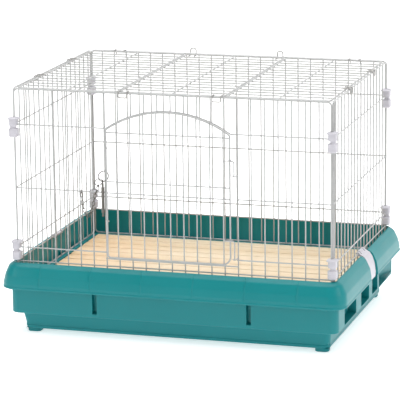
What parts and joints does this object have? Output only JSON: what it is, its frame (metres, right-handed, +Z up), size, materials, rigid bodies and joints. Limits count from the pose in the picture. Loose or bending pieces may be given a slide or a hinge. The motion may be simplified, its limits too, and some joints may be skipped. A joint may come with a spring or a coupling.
{
  "type": "small animal cage",
  "caption": "Wire small-animal cage on a deep moulded tray, with an arched front door, sliding latch, roof hatch and slatted wooden floor.",
  "frame": {"origin": "on the ground under the middle of the tray", "axes": "+X to the cage's right as seen from the front, +Y to the back away from the door, +Z up"},
  "size_m": [0.656, 0.491, 0.473],
  "materials": {
    "tray_plastic": "glossy moulded plastic",
    "coated_wire": "plastic-coated steel wire, satin",
    "steel_wire": "plain plated steel",
    "clip_plastic": "satin moulded plastic",
    "floor_wood": "planed softwood, unvarnished"
  },
  "bodies": {
    "cage": {"back_panel": "coated_wire", "corner_clip_back_left_lower": "clip_plastic", "corner_clip_back_left_upper": "clip_plastic", "corner_clip_back_right_lower": "clip_plastic", "corner_clip_back_right_upper": "clip_plastic", "corner_clip_front_left_lower": "clip_plastic", "corner_clip_front_left_upper": "clip_plastic", "corner_clip_front_right_lower": "clip_plastic", "corner_clip_front_right_upper": "clip_plastic", "door_eye_lower": "coated_wire", "door_eye_upper": "coated_wire", "floor_bearer_left": "floor_wood", "floor_bearer_middle": "floor_wood", "floor_bearer_right": "floor_wood", "floor_slat_01": "floor_wood", "floor_slat_02": "floor_wood", "floor_slat_03": "floor_wood", "floor_slat_04": "floor_wood", "floor_slat_05": "floor_wood", "floor_slat_06": "floor_wood", "floor_slat_07": "floor_wood", "floor_slat_08": "floor_wood", "floor_slat_09": "floor_wood", "floor_slat_10": "floor_wood", "floor_slat_11": "floor_wood", "floor_slat_12": "floor_wood", "front_panel_header": "coated_wire", "front_panel_left": "coated_wire", "front_panel_right": "coated_wire", "front_panel_sill": "coated_wire", "latch_keeper_lower": "coated_wire", "latch_keeper_upper": "coated_wire", "left_panel": "coated_wire", "right_panel": "coated_wire", "roof_hook_back_left": "steel_wire", "roof_hook_back_right": "steel_wire", "roof_hook_left_front": "steel_wire", "roof_hook_left_rear": "steel_wire", "roof_hook_right_front": "steel_wire", "roof_hook_right_rear": "steel_wire", "roof_panel_left": "coated_wire", "roof_panel_right": "coated_wire", "tether_loop": "steel_wire", "tether_ring": "steel_wire", "tray": "tray_plastic"},
    "door": {"door": "coated_wire"},
    "latch": {"door_latch": "coated_wire"},
    "roof_hatch": {"roof_hatch": "coated_wire", "hatch_hook_left": "steel_wire", "hatch_hook_right": "steel_wire", "hatch_hinge_left": "steel_wire", "hatch_hinge_right": "steel_wire"},
    "side_clip_left": {"side_clip_left": "clip_plastic"},
    "side_clip_right": {"side_clip_right": "clip_plastic"},
    "snap_hook": {"snap_hook": "steel_wire"},
    "chain": {"chain": "steel_wire"}
  },
  "joints": [
    {"name": "door_hinge", "type": "hinge", "parent": "cage", "child": "door", "pos_m": [-0.12, -0.22425, 0], "axis": [0, 0, -1], "range_deg": [0, 120]},
    {"name": "latch_slide", "type": "slide", "parent": "door", "child": "latch", "axis": [0, 0, -1], "range_m": [0, 0.014]},
    {"name": "hatch_hinge", "type": "hinge", "parent": "cage", "child": "roof_hatch", "pos_m": [0, 0.2175, 0.461], "axis": [-1, 0, 0], "range_deg": [0, 110]},
    {"name": "side_clip_left_hinge", "type": "hinge", "parent": "cage", "child": "side_clip_left", "pos_m": [-0.2996, 0, 0.138], "axis": [0, 1, 0], "range_deg": [0, 80]},
    {"name": "side_clip_right_hinge", "type": "hinge", "parent": "cage", "child": "side_clip_right", "pos_m": [0.2996, 0, 0.138], "axis": [0, -1, 0], "range_deg": [0, 80]},
    {"name": "snap_swing", "type": "hinge", "parent": "cage", "child": "snap_hook", "pos_m": [-0.1286, -0.22145, 0.29744], "axis": [-1, 0, 0], "range_deg": [0, 6]},
    {"name": "chain_swing", "type": "hinge", "parent": "cage", "child": "chain", "pos_m": [-0.13808, -0.21867, 0.28809], "axis": [-0.9302, 0.0444, -0.3642], "range_deg": [0, 6]}
  ]
}
